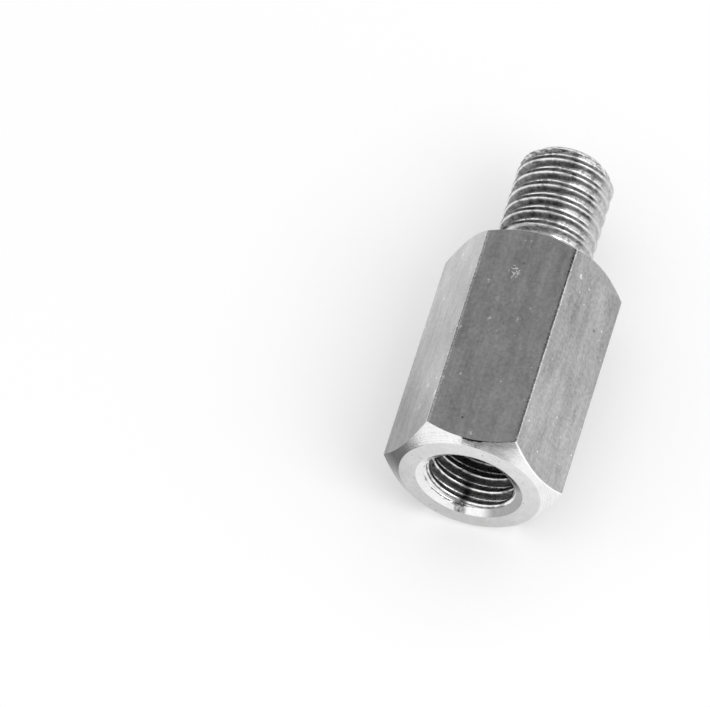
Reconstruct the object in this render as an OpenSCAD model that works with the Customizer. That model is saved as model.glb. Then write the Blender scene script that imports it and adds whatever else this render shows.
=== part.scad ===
// Hex standoff with an M5 tapped hole at one end and an M5 stud at the other.
// It is turned from one piece of hexagon bar and lies on one flat of its hexagon.
// The hole's end faces -Y and the stud points to +Y. The flat it lies on is at Z = 0,
// under the middle of the whole length.
// Both threads are plain walls here: the stud is as wide as its thread's crests,
// and the hole is as wide as its tapping drill.

/* [Hexagon body] */
// Width across the flats, that of bar for an 8 mm spanner
across_flats = 7.9; // [7.5:0.05:9]
// Length between the two end faces
body_length = 13; // [12:0.5:40]
// Diameter of the flat ring left by the chamfer on each end
end_face_d = 7.2; // [6.4:0.1:7.4]
// Slope of the end chamfers against the end faces, in degrees
end_chamfer_angle = 37; // [20:1:45]

/* [Tapped hole] */
// Diameter of the hole's wall, drilled for tapping
tap_drill_d = 4.3; // [3.3:0.1:4.6]
// Depth of the full-width hole below the end face
hole_depth = 10; // [5:0.5:10.5]
// Included angle of the drill point at the hole's bottom, in degrees
drill_point_angle = 118; // [100:1:140]
// Diameter of the countersink at its mouth
countersink_d = 5.45; // [4.8:0.05:6]
// Included angle of the countersink, in degrees
countersink_angle = 120; // [80:5:130]

/* [Stud] */
// Diameter over the thread's crests
stud_d = 4.95; // [4.4:0.05:5.2]
// Length from the shoulder to the tip
stud_length = 6.3; // [4:0.1:16]
// Diameter of the flat end of the tip
tip_d = 3.9; // [3:0.1:4.2]
// Slope of the tip's chamfer against the axis, in degrees
tip_chamfer_angle = 45; // [30:1:60]

/* [Neck behind the stud's thread] */
// Diameter of the neck, below the thread's roots
neck_d = 3.9; // [3.2:0.1:4.2]
// Length from the shoulder to the start of the thread's run-out
neck_length = 0.9; // [0.7:0.1:1.5]
// Radius of the fillet between the shoulder and the neck
neck_fillet_r = 0.6; // [0.4:0.05:0.6]
// Slope of the run-out against the axis, in degrees
run_out_angle = 60; // [30:1:75]

/* [Hidden] */
ROUND = 96;
HEXAGON = 6;
CUT_PAST = 1; // how far a cutter starts outside the face it cuts

flat_r = across_flats / 2;
corner_r = flat_r / cos(30);
end_face_r = end_face_d / 2;
end_chamfer_h = (corner_r - end_face_r) * tan(end_chamfer_angle);

hole_r = tap_drill_d / 2;
countersink_r = countersink_d / 2;
countersink_h = (countersink_r - hole_r) / tan(countersink_angle / 2);
drill_point_h = hole_r / tan(drill_point_angle / 2);

stud_r = stud_d / 2;
tip_r = tip_d / 2;
neck_r = neck_d / 2;
tip_chamfer_h = (stud_r - tip_r) / tan(tip_chamfer_angle);
run_out_h = (stud_r - neck_r) / tan(run_out_angle);
total_length = body_length + stud_length;

// The bar before turning. Its corners point along X, so two flats are level once it lies down.
module hexagon_bar() {
    cylinder(r = corner_r, h = total_length, $fn = HEXAGON);
}

// Half section of all that the lathe leaves: X is the radius, Y the height over the hole's end face.
module turned_section() {
    difference() {
        union() {
            polygon([
                [0, 0],
                [end_face_r, 0],
                [corner_r, end_chamfer_h],
                [corner_r, body_length - end_chamfer_h],
                [end_face_r, body_length],
                [0, body_length]
            ]);
            translate([0, body_length]) stud_section();
        }
        hole_section();
    }
}

// Half section of the stud over the shoulder: filleted neck, run-out, thread blank and tip.
module stud_section() {
    difference() {
        polygon([
            [0, 0],
            [neck_r + neck_fillet_r, 0],
            [neck_r + neck_fillet_r, neck_fillet_r],
            [neck_r, neck_fillet_r],
            [neck_r, neck_length],
            [stud_r, neck_length + run_out_h],
            [stud_r, stud_length - tip_chamfer_h],
            [tip_r, stud_length],
            [0, stud_length]
        ]);
        translate([neck_r + neck_fillet_r, neck_fillet_r]) circle(r = neck_fillet_r, $fn = ROUND);
    }
}

// Half section of the blind hole: countersink, drilled wall and drill point.
module hole_section() {
    polygon([
        [0, -CUT_PAST],
        [countersink_r, -CUT_PAST],
        [countersink_r, 0],
        [hole_r, countersink_h],
        [hole_r, hole_depth],
        [0, hole_depth + drill_point_h]
    ]);
}

module standoff() {
    color("silver")
        translate([0, -total_length / 2, flat_r])
            rotate([-90, 0, 0])
                intersection() {
                    hexagon_bar();
                    rotate_extrude($fn = ROUND) turned_section();
                }
}

standoff();
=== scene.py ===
# %% [markdown]
# # A hex standoff with a stud and a tapped hole
# A standoff is a small spacer of bright steel, turned from a drawn hexagon bar.
# One end carries a screw thread, and the other end is drilled and tapped. This
# notebook takes the plain solid from the CAD model as its frame, and builds the
# finished piece in the same place, with real helical threads, rounded edges and
# the marks that each tool leaves.

# %% Load the frame
import math
import bmesh
import bpy
from mathutils import Matrix, Vector


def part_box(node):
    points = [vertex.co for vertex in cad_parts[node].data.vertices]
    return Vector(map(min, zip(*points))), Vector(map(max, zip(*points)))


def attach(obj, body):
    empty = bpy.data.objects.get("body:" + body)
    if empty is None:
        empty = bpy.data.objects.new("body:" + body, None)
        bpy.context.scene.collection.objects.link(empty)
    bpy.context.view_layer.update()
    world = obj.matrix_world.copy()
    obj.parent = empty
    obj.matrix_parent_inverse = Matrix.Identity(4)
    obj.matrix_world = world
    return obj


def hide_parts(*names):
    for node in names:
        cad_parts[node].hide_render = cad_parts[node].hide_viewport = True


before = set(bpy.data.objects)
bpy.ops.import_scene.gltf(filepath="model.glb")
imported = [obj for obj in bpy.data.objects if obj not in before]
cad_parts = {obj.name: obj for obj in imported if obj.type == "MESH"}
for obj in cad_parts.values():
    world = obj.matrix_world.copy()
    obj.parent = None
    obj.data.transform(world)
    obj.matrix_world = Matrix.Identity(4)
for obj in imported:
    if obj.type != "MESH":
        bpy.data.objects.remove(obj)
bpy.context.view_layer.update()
low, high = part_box("standoff")
print("CAD box in mm:", [round(1000 * value, 3) for value in (*low, *high)])

# %% [markdown]
# ## Sizes
# Every length is in millimetres and is measured from the standoff's own axis,
# which lies along Y. The mesh is made round that axis, because a lathe works
# round an axis too, and it is lifted onto the floor and scaled to metres at the
# end. The places of the two ends come from the frame, so they can't drift.

# %% Sizes of the bar
MM = 0.001
ACROSS_FLATS = 7.9
FLAT_R = ACROSS_FLATS / 2
CORNER_R = FLAT_R / math.cos(math.radians(30))
STUD_LENGTH = 6.3
HOLE_END = low.y / MM
TIP_END = high.y / MM
SHOULDER = TIP_END - STUD_LENGTH
print("length", round(TIP_END - HOLE_END, 3), "mm, shoulder at", round(SHOULDER, 3))

# %% [markdown]
# ## The turned blank
# On the real piece the lathe faces both ends of a hexagon bar and takes the
# corners off with a cone. Here the order is turned round. A spin makes the
# coned blank, and six flat cuts then make the hexagon, so each flat gets the
# curved ends that a cone leaves on a hexagon, with no sums needed.
#
# The blank is left open where the stud and the hole will be joined to it.

# %% Spin the blank
STEPS = 96
END_FACE_R = 3.6
END_SLOPE = math.tan(math.radians(37))
EDGE_BREAK = 0.03
STUD_OPENING_R = 2.62
HOLE_OPENING_R = 2.825
PAST_CORNERS = 0.2


def outline(bm, points):
    """Adds a chain of edges through points, each (radius, place along the axis)."""
    verts = [bm.verts.new((radius, along, 0)) for radius, along in points]
    for pair in zip(verts, verts[1:]):
        bm.edges.new(pair)
    return verts


def soften(bm, verts, offset, segments):
    """Rounds some corners of an outline."""
    bmesh.ops.bevel(
        bm, geom=verts, offset=offset, offset_type="OFFSET", segments=segments,
        profile=0.5, affect="VERTICES", material=-1, clamp_overlap=True,
    )


blank = bmesh.new()
outer_r = CORNER_R + PAST_CORNERS
cone_drop = (outer_r - END_FACE_R) * END_SLOPE
corners = outline(blank, [
    (STUD_OPENING_R, SHOULDER),
    (END_FACE_R, SHOULDER),
    (outer_r, SHOULDER - cone_drop),
    (outer_r, HOLE_END + cone_drop),
    (END_FACE_R, HOLE_END),
    (HOLE_OPENING_R, HOLE_END),
])
soften(blank, [corners[1], corners[4]], EDGE_BREAK, 3)
bmesh.ops.rotate(
    blank, verts=blank.verts[:], cent=(0, 0, 0),
    matrix=Matrix.Rotation(math.pi / STEPS, 3, "Y"),
)
bmesh.ops.spin(
    blank, geom=blank.verts[:] + blank.edges[:], cent=(0, 0, 0), axis=(0, 1, 0),
    dvec=(0, 0, 0), angle=2 * math.pi, steps=STEPS, use_merge=True,
)
print("blank:", len(blank.faces), "faces")

# %% Cut the six flats
FLATS = 6
SMALLEST_FLAT = 20
for number in range(FLATS):
    turn = 2 * math.pi * number / FLATS
    normal = Vector((math.sin(turn), 0, math.cos(turn)))
    cut = bmesh.ops.bisect_plane(
        blank, geom=blank.verts[:] + blank.edges[:] + blank.faces[:], dist=1e-5,
        plane_co=normal * FLAT_R, plane_no=normal, clear_outer=True,
    )
    rim = [part for part in cut["geom_cut"] if isinstance(part, bmesh.types.BMEdge)]
    bmesh.ops.edgeloop_fill(blank, edges=rim)
bmesh.ops.recalc_face_normals(blank, faces=blank.faces[:])
flats = [face for face in blank.faces if face.calc_area() > SMALLEST_FLAT]
print("flats:", len(flats))

# %% [markdown]
# A drawn bar has slightly rounded long edges, because the die that it is pulled
# through can't be perfectly sharp. A bevel rounds the six edges that two flats
# share, and leaves the sharper edges of the cones alone.

# %% Round the long edges
CORNER_BREAK = 0.05
long_edges = [
    edge for edge in blank.edges
    if len(edge.link_faces) == 2 and all(face in flats for face in edge.link_faces)
]
bmesh.ops.bevel(
    blank, geom=long_edges, offset=CORNER_BREAK, offset_type="OFFSET", segments=4,
    profile=0.5, affect="EDGES", material=-1, clamp_overlap=True,
)
print("long edges rounded:", len(long_edges))

# %% [markdown]
# ## The outline of a thread
# A screw thread is one V-shaped outline carried round the axis while it moves
# along it. The outline runs from the middle of one crest to the middle of the
# next, so that copies of it meet. The crests are flat with soft edges, and the
# bottom of the V is round, as the tip of a cutting tool is.

# %% One pitch of the stud's thread
PITCH = 0.8
STUD_R = 2.475
STUD_CREST = 0.22
FLANK_SLOPE = math.tan(math.radians(30))
SHORTEST_FLANK = 0.2
FLANK_CUTS = 4


def thread_outline(bm, crest_r, inwards, crest_width, crest_round, root_round):
    """One pitch of a 60 degree thread. Inwards is 1 for a stud and -1 for a hole."""
    half_crest = crest_width / 2
    depth = (PITCH / 2 - half_crest) / FLANK_SLOPE
    verts = outline(bm, [
        (crest_r, 0),
        (crest_r, half_crest),
        (crest_r - inwards * depth, PITCH / 2),
        (crest_r, PITCH - half_crest),
        (crest_r, PITCH),
    ])
    soften(bm, [verts[1], verts[3]], crest_round, 3)
    soften(bm, [verts[2]], root_round, 6)
    flanks = [edge for edge in bm.edges if edge.calc_length() > SHORTEST_FLANK]
    bmesh.ops.subdivide_edges(bm, edges=flanks, cuts=FLANK_CUTS)


stud = bmesh.new()
thread_outline(stud, STUD_R, 1, STUD_CREST, crest_round=0.04, root_round=0.19)
root_r = min(vert.co.x for vert in stud.verts)
print("stud outline:", len(stud.edges), "edges, root radius", round(root_r, 3), "mm")

# %% [markdown]
# The spin operator makes a helix when its dvec is a step along the axis. After
# one full turn the outline has moved by one pitch and meets its own start, so
# copies of that turn are set one pitch apart, and merging doubles joins them
# into one skin. The skin starts a few turns early and is cut square later.

# %% Carry the outline round
TURNS_BEFORE = 3
STUD_TURNS = 11
STUD_PHASE = 0.735
WELD = 0.001


def carry_round(bm, start, turns):
    """Carries the outline in bm round the axis as a right-hand screw."""
    bmesh.ops.translate(bm, verts=bm.verts[:], vec=(0, start, 0))
    bmesh.ops.spin(
        bm, geom=bm.verts[:] + bm.edges[:], cent=(0, 0, 0), axis=(0, 1, 0),
        dvec=(0, PITCH / STEPS, 0), angle=2 * math.pi, steps=STEPS, use_merge=False,
    )
    one_turn = bm.verts[:] + bm.edges[:] + bm.faces[:]
    for number in range(1, turns):
        copied = bmesh.ops.duplicate(bm, geom=one_turn)["geom"]
        verts = [part for part in copied if isinstance(part, bmesh.types.BMVert)]
        bmesh.ops.translate(bm, verts=verts, vec=(0, PITCH * number, 0))
    bmesh.ops.remove_doubles(bm, verts=bm.verts[:], dist=WELD)


carry_round(stud, SHOULDER + STUD_PHASE - TURNS_BEFORE * PITCH, STUD_TURNS)
print("stud thread:", len(stud.faces), "faces")

# %% [markdown]
# ## The ends of the stud's thread
# The tip has a chamfer, so that a nut starts easily, and behind the thread the
# tool runs out into a narrow neck. Both only ever make the stud thinner. So the
# skin is cut square at both ends, and each of its points is then moved in to
# the turned shape wherever it stands proud of it.

# %% Chamfer the tip and run the thread out
TIP_R = 1.95
NECK_R = 1.95
NECK_LENGTH = 0.9
END_TRIM = 0.02
RUN_OUT_SLOPE = math.tan(math.radians(60))
thread_start = SHOULDER + NECK_LENGTH


def trim(bm, place, outwards):
    """Cuts the skin square at a place along the axis and drops what is outwards."""
    bmesh.ops.bisect_plane(
        bm, geom=bm.verts[:] + bm.edges[:] + bm.faces[:], dist=1e-4,
        plane_co=(0, place, 0), plane_no=(0, outwards, 0), clear_outer=True,
    )


def hold_radius(bm, limit):
    """Moves each point in or out to the radius that limit gives for its place."""
    for vert in bm.verts:
        radius = math.hypot(vert.co.x, vert.co.z)
        wanted = limit(radius, vert.co.y)
        vert.co.x *= wanted / radius
        vert.co.z *= wanted / radius


def stud_limit(radius, along):
    """The turned shape over the stud's thread: a chamfered tip and a run-out."""
    tip_limit = TIP_R + max(TIP_END - along, 0)
    neck_limit = NECK_R + max(along - thread_start, 0) * RUN_OUT_SLOPE
    return min(radius, tip_limit, neck_limit)


trim(stud, TIP_END - END_TRIM, 1)
trim(stud, thread_start, -1)
hold_radius(stud, stud_limit)
print("stud after the cuts:", len(stud.faces), "faces")

# %% Close the tip and draw out the neck
FILLET_R = 0.6
FILLET_STEPS = 8
NEAR = 0.1
SLOPE_WIDTH = 0.008
SLOPE_DEPTH = 0.006


def open_rim(bm, place, reach):
    """The open edges within reach of a place along the axis."""
    return [
        edge for edge in bm.edges
        if edge.is_boundary and abs(edge.verts[0].co.y - place) < reach
    ]


def draw_out(bm, rim, radius, place):
    """Extrudes an open rim to a new circle and returns the new rim."""
    made = bmesh.ops.extrude_edge_only(bm, edges=rim)["geom"]
    for vert in made:
        if isinstance(vert, bmesh.types.BMVert):
            now = math.hypot(vert.co.x, vert.co.z)
            vert.co = (vert.co.x * radius / now, place, vert.co.z * radius / now)
    edges = [part for part in made if isinstance(part, bmesh.types.BMEdge)]
    return [edge for edge in edges if edge.is_boundary]


rim = open_rim(stud, TIP_END, NEAR)
rim = draw_out(stud, rim, TIP_R - SLOPE_WIDTH, TIP_END - SLOPE_DEPTH)
rim = draw_out(stud, rim, TIP_R - EDGE_BREAK, TIP_END)
bmesh.ops.edgeloop_fill(stud, edges=rim)
rim = open_rim(stud, thread_start, NEAR)
rim = draw_out(stud, rim, NECK_R, SHOULDER + FILLET_R)
for step in range(1, FILLET_STEPS + 1):
    turn = math.pi / 2 * step / FILLET_STEPS
    rim = draw_out(
        stud, rim,
        NECK_R + FILLET_R * (1 - math.cos(turn)),
        SHOULDER + FILLET_R * (1 - math.sin(turn)),
    )
print("neck rim:", len(rim), "edges at", round(rim[0].verts[0].co.y, 3))

# %% [markdown]
# ## The tapped hole
# A hole's thread is the same outline with the V pointing outwards. A drill cuts
# a little wider than its own size, so the crests stand a little further out
# than the CAD model's wall. The tap's tapered lead makes the thread fade out
# near the bottom, and the countersink has been pressed smooth over the first
# part of the groove, so the thread only starts behind it.

# %% Thread the hole
DRILL_WIDENING = 0.05
HOLE_R = 2.15 + DRILL_WIDENING
HOLE_CREST = 0.21
HOLE_PHASE = 0.30
HOLE_TURNS = 16
THREAD_DEPTH = 9.0
PAST_THREAD = 0.05
TAP_LEAD = 1.8
SMOOTH_MOUTH = 0.10
MOUTH_LEAD = 0.25
COUNTERSINK_R = 2.725
COUNTERSINK_SLOPE = math.tan(math.radians(30))


def hole_limit(radius, along):
    """The countersink at the mouth, and the leads where the thread fades."""
    depth = along - HOLE_END
    fade_out = (THREAD_DEPTH - depth) / TAP_LEAD
    fade_in = max((depth - SMOOTH_MOUTH) / MOUTH_LEAD, 0)
    fade = min(max(fade_out, 0), fade_in, 1)
    cut = HOLE_R + (radius - HOLE_R) * fade
    return max(cut, COUNTERSINK_R - max(depth, 0) / COUNTERSINK_SLOPE)


hole = bmesh.new()
thread_outline(hole, HOLE_R, -1, HOLE_CREST, crest_round=0.05, root_round=0.20)
carry_round(hole, HOLE_END + HOLE_PHASE - TURNS_BEFORE * PITCH, HOLE_TURNS)
trim(hole, HOLE_END + END_TRIM, -1)
trim(hole, HOLE_END + THREAD_DEPTH + PAST_THREAD, 1)
hold_radius(hole, hole_limit)
print("hole thread:", len(hole.faces), "faces")

# %% Close its bottom and break the edge of its mouth
HOLE_DEPTH = 10.0
DRILL_POINT = HOLE_R / math.tan(math.radians(59))
NEARLY_NOTHING = 0.0005
MOUTH_WIDENING = 0.01
mouth_rim = open_rim(hole, HOLE_END, NEAR)
deep_rim = open_rim(hole, HOLE_END + THREAD_DEPTH, NEAR)
mouth_rim = draw_out(hole, mouth_rim, COUNTERSINK_R - SLOPE_WIDTH, HOLE_END + SLOPE_DEPTH)
mouth_rim = draw_out(hole, mouth_rim, COUNTERSINK_R + MOUTH_WIDENING, HOLE_END)
deep_rim = draw_out(hole, deep_rim, HOLE_R, HOLE_END + HOLE_DEPTH)
deep_rim = draw_out(hole, deep_rim, NEARLY_NOTHING, HOLE_END + HOLE_DEPTH + DRILL_POINT)
bmesh.ops.remove_doubles(hole, verts=hole.verts[:], dist=2 * WELD)
print("hole:", len(hole.faces), "faces, mouth rim", len(mouth_rim), "edges")

# %% [markdown]
# ## One closed skin
# The three parts become one mesh. The gaps between their rims, on the two end
# faces, are filled with triangles. A closed skin has two faces at every edge,
# so counting the edges that don't shows whether it leaks, and the volume shows
# whether its faces point outwards.

# %% Join the three skins
NEXT_TO = 0.01
DRAWN, TURNED, STUD_THREAD, HOLE_THREAD = range(4)
whole = bmesh.new()
for part, finish in ((blank, TURNED), (stud, STUD_THREAD), (hole, HOLE_THREAD)):
    for face in part.faces:
        face.material_index = finish
    skin = bpy.data.meshes.new("skin")
    part.to_mesh(skin)
    whole.from_mesh(skin)
    bpy.data.meshes.remove(skin)
    part.free()
for place in (SHOULDER, HOLE_END):
    filled = bmesh.ops.triangle_fill(
        whole, use_beauty=True, use_dissolve=False, edges=open_rim(whole, place, NEXT_TO),
        normal=(0, 1, 0),
    )
    for part in filled["geom"]:
        if isinstance(part, bmesh.types.BMFace):
            part.material_index = TURNED
bmesh.ops.remove_doubles(whole, verts=whole.verts[:], dist=WELD)
bmesh.ops.recalc_face_normals(whole, faces=whole.faces[:])
open_edges = [edge for edge in whole.edges if not edge.is_manifold]
print("faces:", len(whole.faces), "open edges:", len(open_edges))
print("volume:", round(whole.calc_volume(), 1), "mm3")

# %% [markdown]
# Smooth shading hides the small faces of the turned and threaded surfaces, but
# it would also blur the real edges. So an edge stays crisp where the surface
# turns by more than a few degrees. A thread bends more from face to face, and
# gets a wider limit. The same loop picks the finish of each face: what is left
# of the bar's skin is drawn, and the neck and the tip's end are turned.

# %% Give each face its finish and each edge its crispness
CRISP_ANGLE = 5
CRISP_THREAD_ANGLE = 42
NECK_FROM = SHOULDER - 1
NECK_TO = thread_start + 0.02
TIP_FROM = TIP_END - 0.003
for face in whole.faces:
    face.smooth = True
    along = face.calc_center_median().y
    if face.material_index == TURNED and abs(face.normal.y) < 0.01:
        face.material_index = DRAWN
    elif NECK_FROM < along < NECK_TO or along > TIP_FROM:
        face.material_index = TURNED
for edge in whole.edges:
    threaded = all(face.material_index >= STUD_THREAD for face in edge.link_faces)
    limit = CRISP_THREAD_ANGLE if threaded else CRISP_ANGLE
    edge.smooth = math.degrees(edge.calc_face_angle(0)) < limit
print("crisp edges:", sum(not edge.smooth for edge in whole.edges))

# %% [markdown]
# ## Onto the floor
# The piece lies on one of its flats, so its axis is lifted by half the width
# across the flats. The move is made in the mesh, and the object itself stays at
# the origin. It then replaces the CAD model's plain solid.

# %% Make the object
mesh = bpy.data.meshes.new("threaded_standoff")
lift = Matrix.Translation((0, 0, FLAT_R))
bmesh.ops.transform(whole, matrix=Matrix.Scale(MM, 4) @ lift, verts=whole.verts[:])
whole.to_mesh(mesh)
whole.free()
standoff = bpy.data.objects.new("threaded_standoff", mesh)
bpy.context.scene.collection.objects.link(standoff)
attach(standoff, "root")
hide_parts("standoff")
print("triangles:", sum(len(face.vertices) - 2 for face in mesh.polygons))

# %% [markdown]
# ## Writing sums on sockets
# A shader is a sum written with nodes. The small class below holds one socket,
# and its operators add the Math nodes, so the finishes can be read as sums.
# Every mask in them is made by rise, which climbs from 0 to 1 between two
# values, and every surface colour is one grey, because steel has no hue.

# %% A class that turns sums into nodes
class Signal:
    """One socket of a shader tree, on which sums can be written."""

    def __init__(self, tree, socket=None):
        self.tree = tree
        self.socket = socket

    def node(self, kind, settings=(), sockets=(), output=0):
        """Adds a node: its settings are set first, then its sockets."""
        made = self.tree.nodes.new(kind)
        for name, value in dict(settings).items():
            setattr(made, name, value)
        for name, value in dict(sockets).items():
            if isinstance(value, Signal):
                self.tree.links.new(value.socket, made.inputs[name])
            else:
                made.inputs[name].default_value = value
        return Signal(self.tree, made.outputs[output])

    def other(self, output):
        """Another output of the same node."""
        return Signal(self.tree, self.socket.node.outputs[output])

    def axes(self):
        """The three parts of a vector: across, along and above."""
        parts = self.node("ShaderNodeSeparateXYZ", {}, {0: self})
        return parts, parts.other("Y"), parts.other("Z")

    def math(self, operation, *others):
        """A Math node that has this socket first."""
        return self.node("ShaderNodeMath", {"operation": operation}, enumerate((self, *others)))

    def __add__(self, other):
        return self.math("ADD", other)

    __radd__ = __add__

    def __mul__(self, other):
        return self.math("MULTIPLY", other)

    __rmul__ = __mul__

    def __sub__(self, other):
        return self.math("SUBTRACT", other)

    def __rsub__(self, other):
        return self.node("ShaderNodeMath", {"operation": "SUBTRACT"}, {0: other, 1: self})

    def __truediv__(self, other):
        return self.math("DIVIDE", other)

    def __rtruediv__(self, other):
        return self.node("ShaderNodeMath", {"operation": "DIVIDE"}, {0: other, 1: self})

    def __neg__(self):
        return 0 - self

    def __abs__(self):
        return self.math("ABSOLUTE")

    def rise(self, start, end):
        """0 below start, 1 above end, and a smooth rise between them."""
        return self.node(
            "ShaderNodeMapRange", {"interpolation_type": "SMOOTHSTEP"},
            {"Value": self, "From Min": start, "From Max": end},
        )

    def towards(self, other, share):
        """Part of the way from this value to another."""
        return self + (other - self) * share


def around(value, reach, edge):
    """1 where a value is within reach of 0, fading to 0 at edge."""
    return 1 - abs(value).rise(reach, edge)


trial = bpy.data.node_groups.new("trial", "ShaderNodeTree")
value = Signal(trial).node("ShaderNodeValue")
around(value - 0.5, 0.1, 0.2)
print("around(value - 0.5, 0.1, 0.2) writes", len(trial.nodes) - 1, "nodes")
bpy.data.node_groups.remove(trial)

# %% [markdown]
# ## The drawn flats
# The flats are as the drawing die left them: a dull skin with fine lines along
# the bar, faint clouds, and small bright nicks from lying among other parts.
#
# Every steel here starts in the same way. The shader is made a metal, and a
# Mapping node turns the Object coordinates into millimetres from the standoff's
# axis, so that each size and place in a finish is a real one.

# %% Start the drawn steel
def steel(name):
    """A new metal, its principled shader, and a place on the piece in millimetres."""
    material = bpy.data.materials.new(name)
    material.use_nodes = True
    tree = material.node_tree
    shader = tree.nodes["Principled BSDF"]
    shader.inputs["Metallic"].default_value = 1
    start = Signal(tree).node("ShaderNodeTexCoord", output="Object")
    place = start.node(
        "ShaderNodeMapping", {"vector_type": "POINT"},
        {"Vector": start, "Location": (0, 0, -FLAT_R), "Scale": (1 / MM, 1 / MM, 1 / MM)},
    )
    standoff.data.materials.append(material)
    return tree, shader, place


def from_axis(across, above):
    """How far a place is from the standoff's axis."""
    return (across * across + above * above).math("SQRT")


tree, shader, place = steel("drawn_steel")
across, along, above = place.axes()
radius = from_axis(across, above)
on_top = above.rise(FLAT_R - 0.1, FLAT_R - 0.05)
print("the drawn steel starts with", len(tree.nodes), "nodes")

# %% [markdown]
# The die scratches the bar along its length, so noise that is stretched that
# way makes the lines. The same noise, stretched less, makes the smears and the
# grit of the skin, and at a larger size its clouds.

# %% Lines, smears, grit and clouds
EVEN = (1, 1, 1)


def grain(place, scale, size, detail=2.0, rough=0.5):
    """Noise of some size after the place has been stretched by scale."""
    stretched = place.node("ShaderNodeMapping", {}, {"Vector": place, "Scale": scale})
    return place.node(
        "ShaderNodeTexNoise", {"noise_dimensions": "3D"},
        {"Vector": stretched, "Scale": 1 / size, "Detail": detail, "Roughness": rough},
    )


lines = grain(place, (1, 0.03, 1), 0.10, 3.0, 0.6)
smears = grain(place, (1, 0.16, 1), 0.45, 3.0, 0.6)
grit = grain(place, (1, 0.8, 1), 0.16, 4.0, 0.75)
clouds = grain(place, (1, 0.6, 1), 1.8, 3.0, 0.6)
wobble = grain(place, EVEN, 0.08, 2.0)
print("with its lines and mottle it has", len(tree.nodes), "nodes")

# %% [markdown]
# Nicks, dents and pits are scattered and all differ in size. A Voronoi pattern
# gives each of its cells a random colour. One part of that colour picks the
# cells that get a spot, and another sets how large the spot is. The nicks are
# torn by the noise, and the dents stay round.

# %% Nicks, dents and pits
def spots(place, scale, spacing, radius, share):
    """Scattered spots: one in some of the cells of a Voronoi pattern."""
    stretched = place.node("ShaderNodeMapping", {}, {"Vector": place, "Scale": scale})
    cell = place.node(
        "ShaderNodeTexVoronoi", {"feature": "F1"},
        {"Vector": stretched, "Scale": 1 / spacing, "Randomness": 1.0},
    )
    pick = place.node("ShaderNodeSeparateColor", {}, {0: cell.other("Color")})
    chosen = pick.rise(1 - share, 1 - share + 0.02)
    size = pick.other(1) * 0.7 + 0.3
    near = 1 - (cell / (size * (radius / spacing))).rise(0.5, 1.0)
    return near * chosen


nicks = spots(place, (1, 0.7, 1), 0.7, 0.20, 0.35) * wobble.rise(0.46, 0.56)
dents = spots(place, EVEN, 0.32, 0.070, 0.13)
pits = spots(place, (1, 0.8, 1), 0.55, 0.08, 0.25)
print("with its nicks, dents and pits it has", len(tree.nodes), "nodes")

# %% [markdown]
# Three marks have a place of their own. Something hard has knocked the upper
# flat near the stud. That flat's long edges are worn, and painted brighter as a
# highlight, and along the one on the right a thin dark line of painted shade
# stands for a burr from the die.

# %% The knock, the worn edges with their painted highlight, and the burr's painted shade
UPPER_EDGE_X = CORNER_R / 2
KNOCK_X = -0.38
KNOCK_Y = 0.65
KNOCK_REACH = 0.35
aside = across - KNOCK_X
ahead = (along - KNOCK_Y) * 0.6
knock = 1 - (aside * aside + ahead * ahead).rise(0.0, KNOCK_REACH ** 2)
knock = knock * grain(place, EVEN, 0.16, 1.0).rise(0.55, 0.60) * on_top
nicks = nicks + knock
# The upper flat's long edges: wear, with a painted highlight on them.
wear_and_painted_light = radius.rise(CORNER_R - 0.07, CORNER_R - 0.04) * wobble.rise(0.40, 0.60) * on_top
# A thin dark line of painted shade along the right-hand edge stands for the burr.
burr_shade_line = across.rise(UPPER_EDGE_X - 0.13, UPPER_EDGE_X - 0.09) * above.rise(FLAT_R - 0.02, FLAT_R - 0.005)
burr_shade_line = burr_shade_line * wobble.rise(0.30, 0.45)
print("with its own marks it has", len(tree.nodes), "nodes")

# %% [markdown]
# The skin is also made darker on the right-hand flat, as painted shade, and
# brighter on the left-hand flat by the stud, as a painted reflection. It is a
# little paler at the hole's end.
# Everything is then added up: a grey for the colour, a roughness, and a height
# in parts of a few thousandths of a millimetre for the bump.

# %% Add up the drawn steel
def feed(tree, shader, shade, roughness, height, depth):
    """Feeds a grey, a roughness and a bump of some depth in mm to the shader."""
    shade = shade.math("MAXIMUM", 0.02).math("MINIMUM", 1.0)
    colour = shade.node("ShaderNodeCombineColor", {}, {0: shade, 1: shade, 2: shade})
    bump = shade.node(
        "ShaderNodeBump", {}, {"Height": height, "Distance": depth * MM, "Strength": 1.0},
    )
    tree.links.new(colour.socket, shader.inputs["Base Color"])
    tree.links.new(roughness.socket, shader.inputs["Roughness"])
    tree.links.new(bump.socket, shader.inputs["Normal"])


right_flat = across.rise(UPPER_EDGE_X - 0.28, UPPER_EDGE_X + 0.02)
left_flat = (-across).rise(UPPER_EDGE_X - 0.28, UPPER_EDGE_X + 0.02)
past_hole_end = along.rise(HOLE_END + 2, HOLE_END + 7)
by_stud = along.rise(SHOULDER - 6, SHOULDER)
shade = 0.52 + (lines - 0.5) * 0.15 + (grit - 0.5) * 0.50
shade = shade + (smears - 0.5) * 0.26 + (clouds - 0.5) * 0.30
# Painted shade on the right-hand flat, and a painted reflection on the left-hand flat by the stud.
shade = shade - right_flat * 0.08 - past_hole_end * 0.05 + left_flat * by_stud * 0.11
shade = shade + nicks * 0.55 + dents * 0.45 + wear_and_painted_light * 0.35 - pits * 0.3 - burr_shade_line * 0.36
roughness = 0.36 + (lines - 0.5) * 0.10 + (grit - 0.5) * 0.14
height = lines * 0.3 + grit + nicks * 0.4 + knock * 2.0 + dents * 0.5 - pits
feed(tree, shader, shade, roughness, height, 0.006)
print("the finished drawn steel has", len(tree.nodes), "nodes")

# %% [markdown]
# ## The turned faces
# The end faces, the cones, the neck and the tip's end come off the lathe
# bright, with fine rings round the axis where the tool passed. The rings are
# noise that depends only on the radius and the place along the axis, so they
# run round the piece by themselves.

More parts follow.
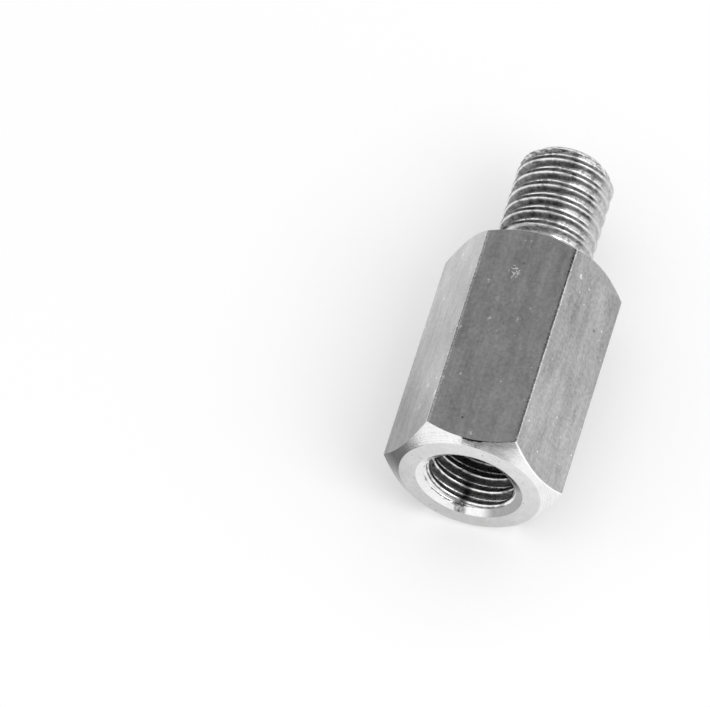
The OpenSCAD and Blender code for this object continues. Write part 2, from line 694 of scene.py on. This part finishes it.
# %% Start the turned steel
FACE_DEPTH = 0.04
tree, shader, place = steel("turned_steel")
across, along, above = place.axes()
radius = from_axis(across, above)
rings = place.node(
    "ShaderNodeTexNoise", {"noise_dimensions": "1D"},
    {"W": radius + along * 0.7, "Scale": 22.0, "Detail": 3.0, "Roughness": 0.6},
)
clouds = grain(place, EVEN, 0.7, 4.0, 0.65)
grit = grain(place, EVEN, 0.12, 3.0, 0.75)
specks = spots(place, EVEN, 0.4, 0.07, 0.35)
end_face = 1 - (along - HOLE_END).rise(0.01, FACE_DEPTH)
cone = (1 - end_face) * radius.rise(END_FACE_R - 0.05, END_FACE_R)
stud_end = along.rise(SHOULDER - 0.8, SHOULDER - 0.7)
print("the turned steel starts with", len(tree.nodes), "nodes")

# %% [markdown]
# At the hole's end, cutting the cone has pushed up a ragged lip along the upper
# flat, painted in as a dark line of shade. It is thickest near the middle, and a
# smudge spreads from it down the cone: partly stain, partly a painted dark
# reflection. The cone's edge with the next flat is rubbed round, and painted
# white as a highlight. How far a place lies towards that flat is its distance
# along the flat's normal.

# %% The lip's painted shade, the smudge and the rim's painted highlight
LIP_X = 0.15
middle = around(across - LIP_X, 0.3, 0.8)
# Painted shade: the lip's dark line, and the smudge below it, which is partly stain and partly a
# painted dark reflection.
lip_shade_and_smudge = (above + (0.04 + middle * 0.06) + (grit - 0.5) * 0.30).rise(FLAT_R, FLAT_R + 0.04)
smudge_stain_and_reflection = (above + (clouds - 0.5)).rise(FLAT_R - 0.5, FLAT_R - 0.15)
lip_shade_and_smudge = lip_shade_and_smudge + smudge_stain_and_reflection * (0.40 + middle * 0.33)
lip_shade_and_smudge = lip_shade_and_smudge * (across + (clouds - 0.5) * 2).rise(-0.7, -0.2) * (1 - along.rise(0, 1))
# Painted highlight: the rim between the cone and the next flat is made white.
next_flat = across * math.cos(math.radians(30)) + above * math.sin(math.radians(30))
rim = next_flat.rise(FLAT_R - 0.10, FLAT_R - 0.02)
rim = rim * cone * (1 - above.rise(FLAT_R - 0.05, FLAT_R))
print("with its lip and rim it has", len(tree.nodes), "nodes")

# %% [markdown]
# The end face is a little duller than the cones, and has a painted reflection
# that makes it brighter towards the upper right. The rings show most on the
# cones, where the tool took its widest cut.

# %% Add up the turned steel
shade = 0.86 + (rings - 0.5) * 0.16 + (clouds - 0.5) * 0.22 + (grit - 0.5) * 0.18
shade = shade + cone * ((rings - 0.5) * 0.5 + 0.02) - specks * 0.25 - end_face * 0.20
shade = shade - cone * (grit.rise(0.52, 0.62) * 0.10 + lip_shade_and_smudge * 0.75)
shade = shade.towards(1.0, rim)
# Painted reflection: the end face is brighter towards the upper right.
shade = shade + end_face * ((across * 0.4 + above * 0.6) / FLAT_R * 0.12)
roughness = 0.24 + (clouds - 0.5) * 0.2 + stud_end * 0.1
height = rings * (0.6 - cone * 0.2) + clouds * 0.6 + grit * (0.4 + cone * 0.6)
feed(tree, shader, shade, roughness, height - specks - rim * 2.5, 0.008)
print("the finished turned steel has", len(tree.nodes), "nodes")

# %% [markdown]
# ## The steel of the threads
# The flanks of a thread are dull, because the tool tears them, and their dark
# grey also paints the shade of the groove. The crest's edge that faces the hole's
# end and the round root get painted highlights: bright lines in the colour. So
# the shade follows the place within one pitch. Taking the turn round the axis
# away from the place along it unwinds the helix, and a Wrap then brings each
# pitch to the same range, with 0 at the middle of a crest and a half at the root.
# On a stud the painted bright lines are made widest along its top, as a glint.

# %% What both threads share
GLINT_X = -0.3


def thread_steel(
    name, radius, crest_place, crest_width, flank, flat_gain, edge_highlight_gain, root_highlight_gain,
    root_reach, root_spread, sheen,
):
    """Steel that is shaded by its place between one crest and the next."""
    tree, shader, place = steel(name)
    across, along, above = place.axes()
    turn = across.math("ARCTAN2", above) / (2 * math.pi)
    unrolled = place.node(
        "ShaderNodeCombineXYZ", {}, {0: turn * (2 * math.pi * radius), 1: along, 2: radius},
    )
    tears = grain(unrolled, (0.45, 1, 1), 0.11, 3.0, 0.7)
    patches = grain(place, EVEN, 0.40, 3.0, 0.6)

    climb = (along - crest_place) / PITCH - turn + (tears - 0.5) * 0.06
    climb = climb.math("WRAP", 0.5, -0.5)
    half_crest = crest_width / PITCH / 2
    glint = around(across - GLINT_X, 0.3, 1.0) * sheen
    flat = around(climb, half_crest, half_crest + 0.04)
    edge = around(climb + half_crest, 0.03, 0.07 + glint * 0.12)
    edge = edge * (patches.rise(0.30, 0.50) * 0.5 + 0.5)
    root = (abs(climb) + root_reach + across.rise(0.3, 1.1) * root_spread).rise(0.34, 0.42)
    root = root * (1 - patches.rise(0.50, 0.62) * 0.8)

    # Painted highlights on the crest's edge and the root, widest at the glint, and a painted tone on
    # the crest's flat; the flank's grey paints the groove's shade.
    bright = (edge * edge_highlight_gain + root * root_highlight_gain) * (1 + glint) + flat * flat_gain
    shade = flank + bright + (tears - 0.5) * 0.75 + (patches - 0.5) * 0.50
    roughness = 0.40 - bright * 0.20 + (patches - 0.5) * 0.16
    height = tears * 0.9 + patches * 0.8
    return tree, shader, place, unrolled, shade, roughness, height


def crest_near(end, phase):
    """The middle of a crest at the piece's top, a quarter turn behind the start."""
    return end + phase - PITCH / 4


print("a crest on top of the stud:", round(crest_near(SHOULDER, STUD_PHASE), 3), "mm")

# %% [markdown]
# The stud's first and last turns are torn where the thread starts and stops, so
# they get short, bright and dark flecks along the groove. Its right-hand side is
# painted paler, as light falling on that side, with fine scratches, and the tip's
# end is darkened with painted shade. Its right-hand side
# has been rubbed against other parts, and is paler with fine scratches.

# %% The stud's thread
tree, shader, place, unrolled, shade, roughness, height = thread_steel(
    "stud_thread_steel", STUD_R, crest_near(SHOULDER, STUD_PHASE), STUD_CREST,
    flank=0.25, flat_gain=-0.08, edge_highlight_gain=0.55, root_highlight_gain=0.70,
    root_reach=0.0, root_spread=0.08, sheen=0.35,
)
across, along, above = place.axes()
flecks = grain(unrolled, (0.18, 1, 1), 0.065, 2.0, 0.6)
tip = along.rise(TIP_END - 0.62, TIP_END - 0.50)
start = 1 - along.rise(thread_start + 0.12, thread_start + 0.26)
chewed = tip.math("MAXIMUM", start * 0.6)
# Painted light: the right-hand side is made paler.
wear_and_painted_light = across.rise(1.85, 2.22)
shade = shade.towards(0.66 + (flecks - 0.5) * 0.7, wear_and_painted_light * 0.75)
shade = shade + (flecks.rise(0.40, 0.60) * 0.65 + 0.13 - shade * 0.5) * chewed
# Painted shade darkens the tip's outermost edge.
shade = shade * (1 - along.rise(TIP_END - 0.14, TIP_END - 0.05) * 0.6)
feed(tree, shader, shade, roughness, height + flecks * chewed * 0.2, 0.010)
print("the stud's steel has", len(tree.nodes), "nodes")

# %% [markdown]
# The hole's thread is darker, and painted shade makes it darker still further
# in. The countersink round its mouth belongs to the same skin and has been
# pressed bright. Painted shade makes it darker on the right, and a ragged painted
# dark reflection lies on one spot at the bottom and runs as a streak across the
# first turns.

# %% The hole's thread
MOUTH_R = 2.33
DARK_SPOT_X = -0.52
DARK_STREAK_X = -0.41
tree, shader, place, unrolled, shade, roughness, height = thread_steel(
    "hole_thread_steel", HOLE_R, crest_near(HOLE_END, HOLE_PHASE), HOLE_CREST,
    flank=0.21, flat_gain=0.12, edge_highlight_gain=0.65, root_highlight_gain=0.65,
    root_reach=0.07, root_spread=0.0, sheen=0,
)
across, along, above = place.axes()
depth = along - HOLE_END
radius = from_axis(across, above)
chatter = grain(unrolled, (1, 0.3, 1), 0.06, 2.0, 0.7)
mouth = radius.rise(MOUTH_R - 0.03, MOUTH_R + 0.03) * (1 - depth.rise(0.50, 0.60))
dark_reflection_spot = around(across - DARK_SPOT_X, 0.20, 0.36) * (1 - above.rise(-1.9, -1.4))
dark_reflection_streak = around(across - DARK_STREAK_X, 0.05, 0.32) * (1 - above.rise(-1.5, -0.7))
dark_reflection_streak = dark_reflection_streak * (1 - depth.rise(1.0, 2.6))

# Painted shade: the countersink darker on the right, a dark reflection spot and streak, and the thread
# darker with depth.
bright = 0.90 + (chatter - 0.5) * 0.30 - across.rise(0.5, 1.2) * 0.50
bright = bright - dark_reflection_spot * (0.50 + (chatter - 0.5) * 2.4)
shade = shade * (1 - dark_reflection_streak * 0.75) * (1 - depth.rise(1.2, 3.2) * 0.68)
shade = shade.towards(bright, mouth)
roughness = roughness.towards(0.18, mouth)
feed(tree, shader, shade, roughness, height * (1 - mouth * 0.7), 0.010)
print("the hole's steel has", len(tree.nodes), "nodes")

# %% [markdown]
# ## The floor
# The standoff lies on a sheet of white paper, which is one large square.

# %% The sheet
FLOOR_SIZE = 3
floor_mesh = bpy.data.meshes.new("floor")
floor_bm = bmesh.new()
bmesh.ops.create_grid(floor_bm, x_segments=1, y_segments=1, size=FLOOR_SIZE)
floor_bm.to_mesh(floor_mesh)
floor_bm.free()
floor = bpy.data.objects.new("floor", floor_mesh)
bpy.context.scene.collection.objects.link(floor)
print("the sheet has", len(floor_mesh.polygons), "face")

# %% [markdown]
# The paper is lit by the lamp and the room like anything else, and what the
# camera or the steel sees of it is lifted a little, so it reaches white without
# more light on the piece, and the shadow stays. To the front left the steel
# mirrors two dim patches of it, as it would with other parts lying there. Only
# mirrored light finds these patches, so the paper itself stays plain.

# %% The paper
PAPER_COLOUR = 0.74
PAPER_LIFT = 0.26
DIM_MIDDLE = (-15.5 * MM, -18.0 * MM, 0)
DIM_SIZE = (15.5 * MM, 5.0 * MM, 1)
DIM_TURN = math.radians(44)
DIMMING = 0.85
SHADE_MIDDLE = (-10.5 * MM, -4.5 * MM, 0)
SHADE_SIZE = (4.5 * MM, 4.5 * MM, 1)
SHADING = 0.45


def oval(spot, middle, size, turn):
    """1 in an oval of the paper, fading to 0 at its edge."""
    inside = spot.node(
        "ShaderNodeMapping", {"vector_type": "TEXTURE"},
        {"Vector": spot, "Location": middle, "Rotation": (0, 0, turn), "Scale": size},
    )
    away = spot.node("ShaderNodeVectorMath", {"operation": "LENGTH"}, {0: inside}, "Value")
    return 1 - away.rise(0.7, 1.1)


paper = bpy.data.materials.new("paper")
paper.use_nodes = True
tree = paper.node_tree
tree.nodes.remove(tree.nodes["Principled BSDF"])
ray = Signal(tree).node("ShaderNodeLightPath", output="Is Camera Ray")
mirrored = ray.other("Is Glossy Ray")
seen = ray.math("MAXIMUM", mirrored).math("MAXIMUM", ray.other("Is Transmission Ray"))
spot = ray.node("ShaderNodeTexCoord", output="Object")
dim = oval(spot, DIM_MIDDLE, DIM_SIZE, DIM_TURN) * DIMMING
dim = dim.math("MAXIMUM", oval(spot, SHADE_MIDDLE, SHADE_SIZE, 0) * SHADING)
clear = 1 - mirrored * dim
matt = ray.node("ShaderNodeBsdfDiffuse", {}, {"Color": clear * PAPER_COLOUR})
glow = ray.node("ShaderNodeEmission", {}, {"Strength": seen * clear * PAPER_LIFT})
both = ray.node("ShaderNodeAddShader", {}, {0: matt, 1: glow})
tree.links.new(both.socket, tree.nodes["Material Output"].inputs["Surface"])
floor_mesh.materials.append(paper)
print("the paper has", len(tree.nodes), "nodes")

# %% [markdown]
# ## The room
# Bare metal shows what is round it, so the room matters more than the lamp. It
# is bright towards the front and dim at the back, with a window on the right
# and a dark strip at the front, which gives the bright edges of the threads
# something to stand against. Only mirrored light sees this. The paper gets one
# even light from all round, and the camera sees a white background.

# %% The room's light
BACK_LIGHT = 0.37
FRONT_LIGHT = 1.10
WINDOW_LIGHT = 1.05
CORNER_LOSS = 0.20
EVEN_LIGHT = 0.855
WHITE = 1.0
STRIP_EAST = 0.25
world = bpy.data.worlds.new("studio")
bpy.context.scene.world = world
world.use_nodes = True
tree = world.node_tree
background = tree.nodes["Background"]
background.inputs["Color"].default_value = (1, 1, 1, 1)
aim = Signal(tree).node("ShaderNodeTexCoord", output="Generated")
east, north, above = aim.axes()
front = (-north).rise(-0.25, 0.35)
window = east.rise(0.30, 0.62) * (1 - front)
corner = (-east).rise(0.30, 0.65) * north.rise(0.15, 0.40)
strip = around(east - STRIP_EAST, 0.19, 0.32) * (-north).rise(0.20, 0.35)
light = BACK_LIGHT + front * (FRONT_LIGHT - BACK_LIGHT)
light = light + window * (WINDOW_LIGHT - BACK_LIGHT) - corner * CORNER_LOSS
light = light * (1 - strip * (0.60 + above * 0.35))
ray = light.node("ShaderNodeLightPath", output="Is Camera Ray")
light = EVEN_LIGHT + ray.other("Is Glossy Ray") * (light - EVEN_LIGHT)
light = light.towards(WHITE, ray)
tree.links.new(light.socket, background.inputs["Strength"])
print("the room has", len(tree.nodes), "nodes")

# %% [markdown]
# ## The lamp
# One large soft lamp stands at the right, about half way up. It lights one side
# of each thread and gives the piece its shadow on the left. Its power follows
# from its size, so that it can be made softer without getting brighter.

# %% The soft lamp
def softbox(name, azimuth, elevation, distance, size, radiance):
    """A square lamp. Azimuth 0 is at the back (+Y) and 90 on the right (+X)."""
    turn, climb = math.radians(azimuth), math.radians(elevation)
    towards = Vector((
        math.sin(turn) * math.cos(climb), math.cos(turn) * math.cos(climb), math.sin(climb),
    ))
    light = bpy.data.lights.new(name, "AREA")
    light.shape = "SQUARE"
    light.size = size
    light.energy = radiance * math.pi * size * size
    lamp = bpy.data.objects.new(name, light)
    lamp.location = towards * distance
    lamp.rotation_euler = towards.to_track_quat("Z", "Y").to_euler()
    bpy.context.scene.collection.objects.link(lamp)
    return lamp


key = softbox("key", azimuth=118, elevation=46, distance=0.3, size=0.16, radiance=2.8)
print("key lamp:", round(1000 * key.data.energy, 1), "mW")

# %% [markdown]
# ## The camera
# The camera looks down on the hole's end from slightly right of it. It stands
# far off with a long lens, so that parallel edges stay nearly parallel, and it
# is tipped by a couple of degrees. Its three directions are worked out first
# and then become the columns of its matrix.

# %% The camera
CAMERA_AZIMUTH = math.radians(17.30)
CAMERA_ELEVATION = math.radians(57.37)
CAMERA_ROLL = math.radians(-2.23)
CAMERA_DISTANCE = 600.0
CAMERA_LENS = 608.5
AIM = Vector((-8.235, -1.192, 0))
back = Vector((
    math.sin(CAMERA_AZIMUTH) * math.cos(CAMERA_ELEVATION),
    -math.cos(CAMERA_AZIMUTH) * math.cos(CAMERA_ELEVATION),
    math.sin(CAMERA_ELEVATION),
))
right = Vector((math.cos(CAMERA_AZIMUTH), math.sin(CAMERA_AZIMUTH), 0))
up = back.cross(right)
rolled_right = math.cos(CAMERA_ROLL) * right + math.sin(CAMERA_ROLL) * up
rolled_up = math.cos(CAMERA_ROLL) * up - math.sin(CAMERA_ROLL) * right
camera = bpy.data.cameras.new("camera")
camera.lens = CAMERA_LENS
camera.sensor_width = 36
camera.clip_start = 0.05
camera.clip_end = 10
eye = bpy.data.objects.new("camera", camera)
bpy.context.scene.collection.objects.link(eye)
facing = Matrix((rolled_right, rolled_up, back)).transposed().to_4x4()
eye.matrix_world = Matrix.Translation(MM * (AIM + CAMERA_DISTANCE * back)) @ facing
bpy.context.scene.camera = eye
print("camera at", [round(value, 3) for value in eye.matrix_world.translation], "m")

# %% [markdown]
# ## Finish
# The view transform is set to Standard. The finished piece must stay inside the
# CAD model's box.

# %% Finish
bpy.context.scene.view_settings.view_transform = "Standard"
